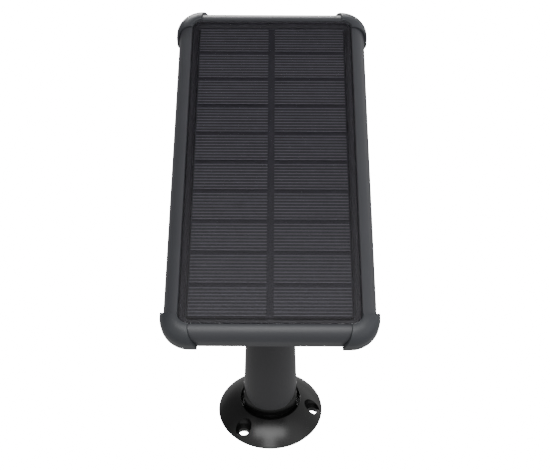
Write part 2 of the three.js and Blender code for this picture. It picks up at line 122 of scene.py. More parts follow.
# The room: broad soft glows, each rising with the cosine between its way and the ray's
def makeWorld():
    world = bpy.data.worlds.new("studio")
    bpy.context.scene.world = world
    world.use_nodes = True
    tree = world.node_tree
    tree.nodes.clear()
    way = addNode(tree, "ShaderNodeTexCoord").outputs["Generated"]
    level = studio["room"]
    for wall, start, end, strength in glows.values():
        facing = addNode(tree, "ShaderNodeVectorMath", {"operation": "DOT_PRODUCT"}, {0: way, 1: wall})
        glow = addNode(
            tree,
            "ShaderNodeMapRange",
            {"interpolation_type": "SMOOTHSTEP"},
            {"Value": facing.outputs["Value"], "From Min": start, "From Max": end, "To Max": strength},
        )
        total = addNode(tree, "ShaderNodeMath", {"operation": "ADD"}, {0: level, 1: glow.outputs["Result"]})
        level = total.outputs[0]
    seen = addNode(tree, "ShaderNodeLightPath").outputs["Is Camera Ray"]
    strength = addNode(
        tree,
        "ShaderNodeMix",
        {"data_type": "FLOAT"},
        {"Factor": seen, "A": level, "B": studio["backdrop"]},
    )
    light = addNode(tree, "ShaderNodeBackground", None, {"Strength": strength.outputs["Result"]})
    output = addNode(tree, "ShaderNodeOutputWorld")
    tree.links.new(light.outputs[0], output.inputs["Surface"])
    world.cycles_visibility.transmission = False  # what shows through the glass is lit by the lamps alone


# One plain pale sheet, brighter to the lens than to the object so that it stays plain
def makeFloor():
    data = bpy.data.meshes.new("floor")
    reach, level = studio["floorReach"], -studio["floorDrop"]
    corners = [(x * reach, y * reach, level) for x, y in ((-1, -1), (1, -1), (1, 1), (-1, 1))]
    data.from_pydata(corners, [], [(0, 1, 2, 3)])
    floor = bpy.data.objects.new("floor", data)
    bpy.context.collection.objects.link(floor)
    paint = bpy.data.materials.new("palePaint")
    paint.use_nodes = True
    tree = paint.node_tree
    tree.nodes.clear()
    seen = addNode(tree, "ShaderNodeLightPath").outputs["Is Camera Ray"]
    matt = addNode(tree, "ShaderNodeEmission", None, {"Strength": studio["floorGlow"]})
    pale = addNode(tree, "ShaderNodeEmission", None, {"Strength": studio["backdrop"]})
    both = addNode(tree, "ShaderNodeMixShader", None, {0: seen, 1: matt.outputs[0], 2: pale.outputs[0]})
    output = addNode(tree, "ShaderNodeOutputMaterial")
    tree.links.new(both.outputs[0], output.inputs["Surface"])
    paint.cycles.emission_sampling = "NONE"
    data.materials.append(paint)


# Rectangular lamps that face the aim
def makeSoftboxes():
    aim = np.array(studio["aim"])
    for name, box in softboxes.items():
        data = bpy.data.lights.new(name, "AREA")
        data.shape, data.energy = "RECTANGLE", box["power"]
        data.size, data.size_y = box["size"]
        light = bpy.data.objects.new(name, data)
        place = np.array(box["place"])
        back = (place - aim) / np.linalg.norm(place - aim)
        side = np.cross((0, 0, 1), back)
        side /= np.linalg.norm(side)
        turn = Matrix([list(row) for row in np.column_stack([side, np.cross(back, side), back])])
        light.matrix_world = Matrix.Translation(box["place"]) @ turn.to_4x4()
        light.visible_transmission = False
        light.visible_glossy = name not in studio["hiddenInGloss"]
        bpy.context.collection.objects.link(light)


makeWorld()
makeFloor()
makeSoftboxes()
print("stage ready")

# shapes: every size from here on is in mm, and each mesh lies where it belongs

hinge = {
    "height": 107.0,  # the upper pin above the wall
    "drop": 26.0,  # the pin behind the glass
    "belowCentre": 45.0,  # the pin below the panel's middle, along the panel
    "tilt": 25.0,  # degrees
}


# Panel coordinates (x across, y up the panel, z out of the glass) turned and moved to the row frame
def onPanel(points):
    angle = math.radians(hinge["tilt"])
    x, y, z = points.T
    y, z = y + hinge["belowCentre"], z + hinge["drop"]
    along = y * math.cos(angle) - z * math.sin(angle)
    upward = y * math.sin(angle) + z * math.cos(angle)
    return np.stack([x, along, upward], 1) + (0, 0, hinge["height"])


# A shape built round Z is laid along X at that height: its z becomes x
def alongX(height):
    return lambda points: np.stack([points[:, 2], points[:, 1], -points[:, 0] + height], 1)


# Welds a mesh from points and faces, turns its faces outwards and shades it smooth up to the sharp angle
def makePiece(name, points, faces, place=None, sharp=35.0, flat=None):
    points = np.asarray(points, float).reshape(-1, 3)
    if place is not None:
        points = place(points)
    data = bpy.data.meshes.new(name)
    data.from_pydata((points * mm).tolist(), [], [list(map(int, face)) for face in faces])
    if flat is not None:  # the piece's own UV map, in mm
        layer = data.uv_layers.new(name="flat")
        corners = np.empty(len(data.loops), np.int32)
        data.loops.foreach_get("vertex_index", corners)
        layer.data.foreach_set("uv", np.asarray(flat, np.float32)[corners].ravel())
    piece = bpy.data.objects.new(name, data)
    bpy.context.collection.objects.link(piece)
    weld(piece)
    shade(piece, sharp)
    return piece


# Merges doubles, drops flat faces and turns the normals outwards
def weld(piece, gap=1e-6):
    shape = bmesh.new()
    shape.from_mesh(piece.data)
    bmesh.ops.remove_doubles(shape, verts=shape.verts, dist=gap)
    bmesh.ops.dissolve_degenerate(shape, edges=shape.edges, dist=gap)
    bmesh.ops.recalc_face_normals(shape, faces=shape.faces)
    shape.to_mesh(piece.data)
    shape.free()


# Smooth shading, with edges sharper than the angle left crisp
def shade(piece, sharp=35.0):
    piece.data.shade_smooth()
    piece.data.set_sharp_from_angle(angle=math.radians(sharp))


# Turns a piece's modifiers into its own mesh
def applyChanges(piece):
    bpy.context.view_layer.update()
    shown = piece.evaluated_get(bpy.context.evaluated_depsgraph_get())
    data = bpy.data.meshes.new_from_object(shown)
    piece.modifiers.clear()
    old, piece.data = piece.data, data
    bpy.data.meshes.remove(old)
    shade(piece)


# Cuts other out of piece, joins it on or keeps what they share, and removes other
def combine(piece, other, way):
    change = piece.modifiers.new("combine", "BOOLEAN")
    change.operation, change.solver, change.object = way, "EXACT", other
    applyChanges(piece)
    bpy.data.objects.remove(other)


def cut(piece, *others):
    for other in others:
        combine(piece, other, "DIFFERENCE")


def join(piece, *others):
    for other in others:
        combine(piece, other, "UNION")


# Rounds a polygon's corners: each gives way to a quadratic arc that starts and ends radius from it
def filleted(profile, radius, steps=4, closed=True):
    profile = np.asarray(profile, float)
    count = len(profile)
    out = []
    t = np.linspace(0, 1, steps + 1)[:, None]
    for k in range(count):
        here = profile[k]
        if not closed and k in (0, count - 1):
            out.append(here[None])
            continue
        before, after = profile[k - 1], profile[(k + 1) % count]
        reach = [min(radius, 0.48 * np.linalg.norm(p - here)) for p in (before, after)]
        start = here + (before - here) / np.linalg.norm(before - here) * reach[0]
        end = here + (after - here) / np.linalg.norm(after - here) * reach[1]
        out.append((1 - t) ** 2 * start + 2 * t * (1 - t) * here + t**2 * end)
    return np.concatenate(out)


# A closed [radius, height] profile turned about Z: point (r, h) sweeps r cos a, r sin a, h
def spin(name, profile, steps=64, place=None, around=(0, 0), sharp=35.0):
    profile = np.asarray(profile, float)
    angle = np.linspace(0, 2 * math.pi, steps, endpoint=False)
    radius, height = profile[:, 0][:, None], profile[:, 1][:, None]
    points = np.stack(
        [
            radius * np.cos(angle) + around[0],
            radius * np.sin(angle) + around[1],
            height + 0 * angle,
        ],
        -1,
    )
    return makePiece(name, points, gridFaces(len(profile), steps, True, True), place, sharp)


# Four-sided faces between neighbours of a rows by columns grid
def gridFaces(rows, columns, closeRows, closeColumns):
    r = np.arange(rows if closeRows else rows - 1)[:, None]
    c = np.arange(columns if closeColumns else columns - 1)[None]
    r2, c2 = (r + 1) % rows, (c + 1) % columns
    corners = [r * columns + c, r * columns + c2, r2 * columns + c2, r2 * columns + c]
    return np.stack(corners, -1).reshape(-1, 4)


# A plain cylinder from low to high: the profile is its radius at both ends, turned about Z
def rod(name, radius, low, high, steps=48, place=None, around=(0, 0)):
    profile = [[0, low], [radius, low], [radius, high], [0, high]]
    return spin(name, profile, steps, place, around)


# A closed outline carried straight up from low to high; its rims draw in by edge on a quarter circle
def slab(name, outline, low, high, edge=0.0, place=None, shift=(0, 0)):
    outline = np.asarray(outline, float)
    along = np.roll(outline, -1, 0) - np.roll(outline, 1, 0)
    along /= np.linalg.norm(along, axis=1)[:, None]
    outward = np.stack([along[:, 1], -along[:, 0]], 1)
    if edge:
        turn = np.linspace(0, math.pi / 2, 5)
        inset = np.concatenate([edge * (1 - np.sin(turn)), edge * (1 - np.cos(turn))])
        height = np.concatenate([low + edge * (1 - np.cos(turn)), high - edge * (1 - np.sin(turn))])
    else:
        inset, height = np.zeros(2), np.array([low, high])
    rings = outline[None] - outward[None] * inset[:, None, None] + np.array(shift)
    points = np.concatenate([rings, np.broadcast_to(height[:, None, None], (*rings.shape[:2], 1))], 2)
    count = len(outline)
    faces = gridFaces(len(inset), count, False, True).tolist()
    faces.append(list(range(count)))
    faces.append(list(range((len(inset) - 1) * count, len(inset) * count)))
    return makePiece(name, points, faces, place)


# A rounded rectangle, counter-clockwise: four quarter circles joined by straight sides
def roundedOutline(halfX, halfY, radius, steps=10):
    parts = []
    for sideX, sideY, start in ((1, -1, -90), (1, 1, 0), (-1, 1, 90), (-1, -1, 180)):
        angle = np.radians(np.linspace(start, start + 90, steps + 1))
        centre = np.array([sideX * (halfX - radius), sideY * (halfY - radius)])
        parts.append(centre + radius * np.stack([np.cos(angle), np.sin(angle)], 1))
    return np.concatenate(parts)


# Six corners on a circle, 60 degrees apart, slightly rounded
def hexOutline(radius, rounding=0.35):
    angle = np.radians(np.arange(6) * 60 + 30)
    return filleted(radius * np.stack([np.cos(angle), np.sin(angle)], 1), rounding, 3)


# materials

print("shapes ready")


# A noise pattern read as height, so that the surface catches light unevenly
def grainBump(tree, coordinates, scale, depth, detail=3.0):
    noise = {"Vector": coordinates, "Scale": scale, "Detail": detail, "Roughness": 0.6}
    grain = addNode(tree, "ShaderNodeTexNoise", None, noise)
    values = {"Height": grain.outputs["Fac"], "Strength": 1.0, "Distance": depth}
    return addNode(tree, "ShaderNodeBump", None, values).outputs["Normal"]


# Moulded thermoplastic: a fine spark-eroded grain in the bump, faint clouding in colour and gloss
def mouldedPlastic(name, colour, roughness, grainMm=0.35, depthMm=0.006, vary=0.10):
    material = bpy.data.materials.new(name)
    material.use_nodes = True
    tree = material.node_tree
    tree.nodes.clear()
    where = addNode(tree, "ShaderNodeTexCoord").outputs["Object"]
    cloudMm, speckMm = 22, 0.8  # clouds from the melt's flow, specks from the pigment
    values = {"Vector": where, "Scale": 1000 / cloudMm, "Detail": 4.0}
    cloud = addNode(tree, "ShaderNodeTexNoise", None, values)
    values = {"Vector": where, "Scale": 1000 / speckMm, "Detail": 2.0}
    speck = addNode(tree, "ShaderNodeTexNoise", None, values)
    mixed = addNode(
        tree,
        "ShaderNodeMix",
        {"data_type": "FLOAT"},
        {"Factor": 0.35, "A": cloud.outputs["Fac"], "B": speck.outputs["Fac"]},
    )
    base = np.array(hexColour(colour))
    dark, light = base * (1 - vary), base * (1 + vary)
    dark[3] = light[3] = 1
    shadeRamp = addNode(
        tree,
        "ShaderNodeMix",
        {"data_type": "RGBA"},
        {"Factor": mixed.outputs[0], "A": dark.tolist(), "B": light.tolist()},
    )
    values = {"Value": mixed.outputs[0], "From Min": 0.3, "From Max": 0.7}
    values.update({"To Min": roughness * 0.93, "To Max": roughness * 1.07})
    gloss = addNode(tree, "ShaderNodeMapRange", None, values)
    surface = addNode(
        tree,
        "ShaderNodeBsdfPrincipled",
        None,
        {
            "Base Color": shadeRamp.outputs["Result"],
            "Roughness": gloss.outputs["Result"],
            "IOR": 1.5,
            "Normal": grainBump(tree, where, 1000 / grainMm, depthMm * mm),
        },
    )
    output = addNode(tree, "ShaderNodeOutputMaterial")
    tree.links.new(surface.outputs[0], output.inputs["Surface"])
    return material


# Turned and plated steel: fine turning marks in the bump and a slightly uneven plating
def brushedMetal(name, colour, roughness, grainMm=0.25):
    material = mouldedPlastic(name, colour, roughness, grainMm, 0.003, vary=0.16)
    surface = next(n for n in material.node_tree.nodes if n.type == "BSDF_PRINCIPLED")
    surface.inputs["Metallic"].default_value = 1.0
    return material


# Tempered float glass: smooth, faintly grey; lamps reach what is under it
def clearGlass(name, tint, roughness):
    material = bpy.data.materials.new(name)
    material.use_nodes = True
    tree = material.node_tree
    tree.nodes.clear()
    where = addNode(tree, "ShaderNodeTexCoord").outputs["Object"]
    haze = addNode(tree, "ShaderNodeTexNoise", None, {"Vector": where, "Scale": 1000 / 30, "Detail": 3.0})
    values = {"Value": haze.outputs["Fac"], "From Min": 0.3, "From Max": 0.7}
    values.update({"To Min": roughness * 0.8, "To Max": roughness * 1.3})
    gloss = addNode(tree, "ShaderNodeMapRange", None, values)
    glass = addNode(
        tree,
        "ShaderNodeBsdfPrincipled",
        None,
        {
            "Base Color": hexColour(tint),
            "Roughness": gloss.outputs["Result"],
            "IOR": 1.5,
            "Transmission Weight": 1.0,
        },
    )
    output = addNode(tree, "ShaderNodeOutputMaterial")
    tree.links.new(glass.outputs[0], output.inputs["Surface"])
    return material


cell = {
    "rows": 10,
    "pitch": 16.8,
    "height": 14.7,
    "width": 36.25,
    "columnGap": 3.4,
    "top": -2.9,
    "thickness": 0.3,
    "lines": 9,  # collector lines across each cell
    "lineMargin": 0.45,
    "lineWidth": 0.42,  # printed lines are finer; this is as fine as shows
    "lineRise": 0.02,
    "cloudGrain": 9,  # size of the faint clouding in the coating
    "pasteGrain": 2.5,  # size of the uneven patches in the printed paste
}


# Textured silicon under a dark coating: a dull grey ground with fine paler printed lines across it;
# the UV map is in mm from the cell's corner
def solarSilicon(name):
    material = bpy.data.materials.new(name)
    material.use_nodes = True
    tree = material.node_tree
    tree.nodes.clear()
    flat = addNode(tree, "ShaderNodeUVMap", {"uv_map": "flat"}).outputs["UV"]
    split = addNode(tree, "ShaderNodeSeparateXYZ", None, {0: flat})
    pitch = (cell["height"] - 2 * cell["lineMargin"]) / (cell["lines"] - 1)
    level = split.outputs["Y"]
    steps = (  # distance from the nearest line, as a share of the pitch
        ("SUBTRACT", {1: cell["lineMargin"]}),
        ("MULTIPLY_ADD", {1: 1 / pitch, 2: 0.5}),
        ("FRACT", {}),
        ("SUBTRACT", {1: 0.5}),
        ("ABSOLUTE", {}),
    )
    for operation, values in steps:
        level = addNode(tree, "ShaderNodeMath", {"operation": operation}, {0: level, **values}).outputs[0]
    half = cell["lineWidth"] / pitch / 2
    line = addNode(
        tree,
        "ShaderNodeMapRange",
        {"interpolation_type": "SMOOTHSTEP"},
        {"Value": level, "From Min": half * 0.6, "From Max": half * 1.4, "To Min": 1.0, "To Max": 0.0},
    )
    where = addNode(tree, "ShaderNodeTexCoord").outputs["Object"]
    values = {"Vector": where, "Scale": 1000 / cell["cloudGrain"], "Detail": 5.0}
    grain = addNode(tree, "ShaderNodeTexNoise", None, values)
    silicon = addNode(
        tree,
        "ShaderNodeMix",
        {"data_type": "RGBA"},
        {"Factor": grain.outputs["Fac"], "A": hexColour("#2f2f31"), "B": hexColour("#363638")},
    )
    values = {"Vector": where, "Scale": 1000 / cell["pasteGrain"], "Detail": 3.0}
    worn = addNode(tree, "ShaderNodeTexNoise", None, values)
    paste = addNode(
        tree,
        "ShaderNodeMix",
        {"data_type": "RGBA"},
        {"Factor": worn.outputs["Fac"], "A": hexColour("#55555a"), "B": hexColour("#626267")},
    )
    colour = addNode(
        tree,
        "ShaderNodeMix",
        {"data_type": "RGBA"},
        {"Factor": line.outputs["Result"], "A": silicon.outputs["Result"], "B": paste.outputs["Result"]},
    )
    values = {"Height": line.outputs["Result"], "Strength": 0.6, "Distance": cell["lineRise"] * mm}
    bump = addNode(tree, "ShaderNodeBump", None, values)
    surface = addNode(
        tree,
        "ShaderNodeBsdfPrincipled",
        None,
        {
            "Base Color": colour.outputs["Result"],
            "Roughness": 0.45,
            "IOR": 1.3,
            "Normal": bump.outputs["Normal"],
        },
    )
    output = addNode(tree, "ShaderNodeOutputMaterial")
    tree.links.new(surface.outputs[0], output.inputs["Surface"])
    return material


# sizes after the roughness are the grain and its depth, in mm
finishes = {
    # satin ABS from a finely etched tool: a broad soft highlight along the rounded rim
    "frameAbs": mouldedPlastic("frameAbs", "#3a3b3f", 0.38),
    "capAbs": mouldedPlastic("capAbs", "#34363a", 0.38),
    # coarser etched ABS: the back stays flat and dark, with a visible tooth
    "coverAbs": mouldedPlastic("coverAbs", "#2c2d30", 0.55, 0.6, 0.02),
    # moulded nylon: a slightly waxy sheen down the arm's sides
    "armNylon": mouldedPlastic("armNylon", "#313133", 0.36, 0.5, 0.004),
    # polished ABS: near black, and it mirrors the softboxes as one blurred patch
    "glossAbs": mouldedPlastic("glossAbs", "#0f0f0f", 0.25, 3.0, 0.002),
    # dull moulded rubber: no highlight
    "gasketRubber": mouldedPlastic("gasketRubber", "#19181d", 0.65, 1.5, 0.0005, vary=0.05),
    # matt laminated sheet: an even dark ground between the cells
    "backingLaminate": mouldedPlastic("backingLaminate", "#1b1a21", 0.6, 2.5, 0.0005, vary=0.05),
    # screened lacquer on glass fibre: glossy green with a slight weave
    "solderMask": mouldedPlastic("solderMask", "#12482a", 0.3, 0.8, 0.004),
    # moulded epoxy: a dry, sandy black
    "chipEpoxy": mouldedPlastic("chipEpoxy", "#18181a", 0.6, 0.3, 0.01),
    # natural nylon: warm off-white, slightly waxy
    "washerNylon": mouldedPlastic("washerNylon", "#cfcabd", 0.45, 0.4, 0.004),
    # bright zinc over turned steel: pale and a little streaked
    "zincSteel": brushedMetal("zincSteel", "#9c9c9e", 0.34),
    # blackened steel: dark with a dull metal sheen
    "blackSteel": brushedMetal("blackSteel", "#1c1c1e", 0.5),
    # rolled copper dipped in tin: soft silver
    "tinnedCopper": brushedMetal("tinnedCopper", "#b4b2ac", 0.32),
    "panelGlass": clearGlass("panelGlass", "#eceaf2", 0.008),
    "solarSilicon": solarSilicon("solarSilicon"),
}


# Gives a piece its material and its body, and hides the nodes it stands for; the slot is not used
def finishPiece(piece, body, slot, finish, *nodes):
    piece.data.materials.clear()
    piece.data.materials.append(finishes[finish])
    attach(piece, body)
    if nodes:
        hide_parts(*nodes)


print("materials ready")

# panel: frame, caps, glass and cells

panel = {
    "half": (49.6, 94.6),
    "corner": 12.3,
    "front": 0.4,
    "back": -13.4,
    "window": -7.0,
    "ledge": -10.8,
    "recess": -6.4,
    "ledgeTop": -4.2,
    "recessTop": -10.6,
    "frontRound": (6.5, 6.2),
    "backRound": (3.6, 3.6),
    "gap": 0.3,
    "glass": (-2.6, 0),
}


# Part of an ellipse: centre + (across cos a, deep sin a), from start to end in degrees
def quarter(centre, across, deep, start, end, steps):
    angle = np.radians(np.linspace(start, end, steps + 1))
    return np.stack([centre[0] + across * np.cos(angle), centre[1] + deep * np.sin(angle)], 1)


# Stations round the panel's rim: place, outward way and way along, on each corner's quarter circle
def outline(corners=(0, 1, 2, 3), steps=16):
    places, outs = [], []
    for corner in corners:
        angle = np.radians(np.linspace(90 * corner, 90 * corner + 90, steps + 1))
        side = np.array([1 if corner in (0, 3) else -1, 1 if corner < 2 else -1])
        centre = side * (np.array(panel["half"]) - panel["corner"])
        out = np.stack([np.cos(angle), np.sin(angle)], 1)
        places.append(centre + panel["corner"] * out)
        outs.append(out)
    places, outs = np.concatenate(places), np.concatenate(outs)
    return places, outs, np.stack([-outs[:, 1], outs[:, 0]], 1)


# An [offset, z] profile carried along the rim: place + outward * offset + along * slide, at z
def carry(name, profile, stations, closed, slide=None, sharp=35.0):
    places, outs, along = stations
    profile = np.asarray(profile, float)
    flat = places[:, None] + outs[:, None] * profile[None, :, :1]
    if slide is not None:
        flat = flat + along[:, None] * slide[:, :, None]
    height = np.broadcast_to(profile[None, :, 1:], (*flat.shape[:2], 1))
    points = np.concatenate([flat, height], 2)
    faces = gridFaces(len(places), len(profile), closed, True).tolist()
    if not closed:
        last = (len(places) - 1) * len(profile)
        faces.append(list(range(len(profile))))
        faces.append(list(range(last, last + len(profile))))
    return makePiece(name, points, faces, onPanel, sharp)


frontCentre = (-panel["frontRound"][0], panel["front"] - panel["frontRound"][1])
backCentre = (-panel["backRound"][0], panel["back"] + panel["backRound"][1])


coverScrewSpots = [(x, y) for y in (-72, 72) for x in (-40.4, 40.4)]


# Two elliptic quarters joined by the rim's side, and a stepped inside, carried round the rim
def makeFrame():
    inside = [
        [panel["recess"], panel["back"]],
        [panel["recess"], panel["recessTop"]],
        [panel["ledge"], panel["recessTop"]],
        [panel["ledge"], panel["ledgeTop"]],
        [panel["window"], panel["ledgeTop"]],
        [panel["window"], panel["front"] - 0.25],
    ]
    rounded = filleted(inside, 0.15, 2, closed=False)
    profile = np.concatenate(
        [
            quarter(frontCentre, *panel["frontRound"], 90, 0, 16),
            quarter(backCentre, *panel["backRound"], 0, -90, 14),
            rounded,
            [[panel["window"] + 0.1, panel["front"] - 0.07]],
        ]
    )
    frameRing = carry("bezelRing", profile, outline(), True)
    for x, y in coverScrewSpots:
        cut(frameRing, rod("hole", 1.2, panel["recessTop"] - 1, -6.6, 24, onPanel, (x, y)))
    finishPiece(frameRing, "panel", "frame_plastic", "frameAbs", "bezel_frame")


cap = {
    "across": 1.7,  # how proud the cap stands at the side, the front and the back
    "front": 1.0,
    "back": 1.7,
    "runFront": -0.6,  # how far its ends run along the sides, at the front and at the back
    "runBack": 3.4,
    "steps": 26,
    "edge": 0.28,
}


# The frame's two elliptic quarters, grown outwards and closed inside, carried round one corner;
# the two end stations slide along the sides by more towards the back
def makeCaps():
    inner = panel["gap"]
    frontAcross, frontDeep = panel["frontRound"]
    backAcross, backDeep = panel["backRound"]
    start = panel["window"] + 0.1
    profile = np.concatenate(
        [
            [[start, panel["front"] + inner], [start, panel["front"] + 0.62]],
            quarter(frontCentre, frontAcross + cap["across"], frontDeep + cap["front"], 90, 0, 18),
            quarter(backCentre, backAcross + cap["across"], backDeep + cap["back"], 0, -90, 14),
            quarter(backCentre, backAcross + inner, backDeep + inner, -90, 0, 12),
            quarter(frontCentre, frontAcross + inner, frontDeep + inner, 0, 90, 14),
        ]
    )
    names = ("top_right", "top_left", "bottom_left", "bottom_right")
    for corner, name in enumerate(names):
        stations = outline((corner,), cap["steps"])
        top = panel["front"] + 1
        depth = np.clip(1.6 * (top - profile[:, 1]) / (top - panel["back"]), 0, 1)
        run = cap["runFront"] + (cap["runBack"] - cap["runFront"]) * depth
        slide = np.zeros((cap["steps"] + 1, len(profile)))
        slide[0], slide[-1] = -run, run
        piece = carry("cornerCap_" + name, profile, stations, False, slide)
        soften(piece, cap["edge"])
        finishPiece(piece, "panel", "cap_plastic", "capAbs", "corner_cap_" + name)


# Rounds the edges sharper than angle by width, in mm
def soften(piece, width, segments=3, angle=40):
    bevel = piece.modifiers.new("soften", "BEVEL")
    bevel.width, bevel.segments = width * mm, segments
    bevel.limit_method, bevel.angle_limit = "ANGLE", math.radians(angle)
    bevel.use_clamp_overlap = True
    applyChanges(piece)


# A rounded rectangle carried straight through the glass's thickness
def makeGlass():
    half = np.array(panel["half"]) + panel["window"] - panel["gap"]
    radius = panel["corner"] + panel["window"] - panel["gap"]
    pane = slab("glassPane", roundedOutline(*half, radius, 14), *panel["glass"], 0.1, onPanel)
    pane.visible_shadow = False  # lamps reach the cells through it
    finishPiece(pane, "panel", "panel_glass", "panelGlass", "cover_glass")


# Each cell is a thin plate with chamfered rims; its UV map runs across and up the cell in mm
def makeCells():
    top = cell["rows"] / 2 * cell["pitch"] - (cell["pitch"] - cell["height"]) / 2
    width, height = cell["width"], cell["height"]
    outlineUv = roundedOutline(width / 2, height / 2, 0.5, 3) + (width / 2, height / 2)
    count = len(outlineUv)
    low, high, edge = cell["top"] - cell["thickness"], cell["top"], 0.06
    inward = outlineUv + np.clip(np.array([width / 2, height / 2]) - outlineUv, -edge, edge)
    rings = [(inward, low), (outlineUv, low + edge), (outlineUv, high - edge), (inward, high)]
    uv = np.concatenate([ring for ring, _ in rings])
    z = np.repeat([level for _, level in rings], count)
    faces = gridFaces(4, count, False, True).tolist()
    faces += [list(range(count)), list(range(3 * count, 4 * count))]
    for row in range(cell["rows"]):
        for side, sign in (("left", -1), ("right", 1)):
            left = cell["columnGap"] / 2 if sign > 0 else -cell["columnGap"] / 2 - width
            bottom = top - row * cell["pitch"] - height
            points = np.column_stack([uv + (left, bottom), z])
            name = f"solar_cell_{side}_{row + 1:02d}"
            piece = makePiece("cell_" + side + f"_{row + 1:02d}", points, faces, onPanel, flat=uv)
            finishPiece(piece, "panel", "cell_silicon", "solarSilicon", name)


gasket = {"outer": -7.6, "crest": -9.0, "inner": -10.4, "top": -2.9, "lip": -3.45, "bottom": -3.9}


# A flat seal whose inner side slopes down to the board, carried round the rim
def makeGasket():
    g = gasket
    profile = [
        [g["outer"], g["bottom"]],
        [g["outer"], g["top"]],
        [g["crest"], g["top"]],
        [g["inner"], g["lip"]],
        [g["inner"], g["bottom"]],
    ]
    seal = carry("glassGasket", filleted(profile, 0.2, 2), outline(), True)
    finishPiece(seal, "panel", "gasket_rubber", "gasketRubber", "glass_gasket")


makeFrame()
makeCaps()
makeGlass()
makeGasket()
makeCells()
print("panel front ready")

# rear cover, gland, bracket and screws

bracketSpots = [(-19, -57), (19, -57), (-19, -33), (19, -33)]
boardSpots = [(-17, -5), (17, -5), (-17, 17), (17, 17)]
rear = {
    "low": -13.3,
    "high": -10.9,
    "edge": 0.3,
    "glandY": 40.0,
    "glandHole": 4.5,
    "post": (3.4, -8.6),  # radius and top of the posts behind the bracket
    "postHole": 1.7,
    "boardPost": (2.2, -10.5),
    "screwHole": 1.2,
    "screwSeat": (2.1, 1.5),  # radius and depth
    "plateLow": -16.6,
    "plateHigh": -13.6,
}


# A rounded rectangle carried through the cover's thickness, with round posts joined and holes cut
def makeCover():
    half = np.array(panel["half"]) + panel["recess"] - panel["gap"]
    radius = panel["corner"] + panel["recess"] - panel["gap"]
    low, high = rear["low"], rear["high"]
    cover = slab("rearCover", roundedOutline(*half, radius, 12), low, high, rear["edge"], onPanel)
    postRadius, postTop = rear["post"]
    for spot in bracketSpots:
        join(cover, rod("post", postRadius, high - 1, postTop, 32, onPanel, spot))
        cut(cover, rod("hole", rear["postHole"], low - 1, -8, 24, onPanel, spot))
    postRadius, postTop = rear["boardPost"]
    for spot in boardSpots:
        join(cover, rod("post", postRadius, high - 1, postTop, 24, onPanel, spot))
    seatRadius, seatDepth = rear["screwSeat"]
    for spot in coverScrewSpots:
        cut(cover, rod("hole", rear["screwHole"], low - 1, high + 1, 24, onPanel, spot))
        cut(cover, rod("seat", seatRadius, low - 1, low + seatDepth, 32, onPanel, spot))
    cut(cover, rod("hole", rear["glandHole"], low - 1, high + 1, 48, onPanel, (0, rear["glandY"])))
    finishPiece(cover, "panel", "cover_plastic", "coverAbs", "rear_cover")


# Pan-head screw: a domed head with a tapered cross recess and a shank with thread ridges
def crossScrew(name, headRadius, headLow, headHigh, shankRadius, shankHigh, place, around):
    rise = headHigh - headLow
    angle = np.radians(np.linspace(90, 15, 7))
    dome = np.stack([headRadius * np.cos(angle), headHigh - 0.25 * rise - 0.75 * rise * np.sin(angle)], 1)
    turns = max(4, int((shankHigh - headHigh) / 0.9))
    ridge = np.linspace(headHigh + 0.4, shankHigh - 0.8, 2 * turns)
    thread = np.stack([np.where(np.arange(2 * turns) % 2, 0.80, 1.0) * shankRadius, ridge], 1)
    dome[0] = (0, headLow)
    profile = np.concatenate(
        [dome, [[headRadius, headHigh]], [[shankRadius * 0.9, headHigh]], thread, [[0, shankHigh]]]
    )
    screw = spin(name, profile, 32, place, around)
    reach, slot, deep = 0.58 * headRadius, 0.13 * headRadius, headLow + 0.6 * rise
    for size in ((reach, slot), (slot, reach)):
        box = np.array([[-1, -1], [1, -1], [1, 1], [-1, 1]]) * size + around
        cut(screw, slab("recess", box, headLow - 1, deep, 0, place))
    return screw


gland = {
    "bore": 3.2,
    "nose": (4.6, 5.2, -20.6, -20.0),  # chamfer: two radii and two heights
    "flange": (7.2, -15.6, -13.6),  # radius, low and high
    "thread": (4.2, -8.2),  # radius and end
    "flutes": 12,
    "fluteRadius": 0.8,
    "fluteCircle": 5.75,
    "fluteEnds": (-21.5, -16.2),
    "grommet": (1.8, 2.9, -20.3, -12),  # inner and outer radius, low and high
    "nut": (7.4, 4.5, -10.6, -8.4),  # corner radius, bore, low and high
}


# A stepped profile turned about the gland's axis, with grip flutes cut round its nose
def makeGland():
    y = rear["glandY"]
    tip, nose, low, chamfer = gland["nose"]
    flange, flangeLow, flangeHigh = gland["flange"]
    thread, end = gland["thread"]
    profile = [
        [gland["bore"], low],
        [tip, low],
        [nose, chamfer],
        [nose, flangeLow],
        [flange, flangeLow],
        [flange, flangeHigh],
        [thread, flangeHigh],
        [thread, end],
        [gland["bore"], end],
    ]
    body = spin("cableGland", filleted(profile, 0.25, 3), 72, onPanel, (0, y))
    for k in range(gland["flutes"]):
        angle, reach = 2 * math.pi * k / gland["flutes"], gland["fluteCircle"]
        spot = (reach * math.cos(angle), y + reach * math.sin(angle))
        cut(body, rod("flute", gland["fluteRadius"], *gland["fluteEnds"], 20, onPanel, spot))
    finishPiece(body, "panel", "cover_plastic", "coverAbs", "cable_gland")
    inner, outer, low, high = gland["grommet"]
    profile = filleted([[inner, low], [outer, low], [outer, high], [inner, high]], 0.3, 4)
    seal = spin("cableGrommet", profile, 48, onPanel, (0, y))
    finishPiece(seal, "panel", "gasket_rubber", "gasketRubber", "cable_grommet")
    corner, bore, low, high = gland["nut"]
    lock = slab("glandNut", hexOutline(corner, 0.6), low, high, 0.3, onPanel, (0, y))
    cut(lock, rod("bore", bore, low - 1.4, high + 1.4, 48, onPanel, (0, y)))
    finishPiece(lock, "panel", "cover_plastic", "coverAbs", "gland_nut")


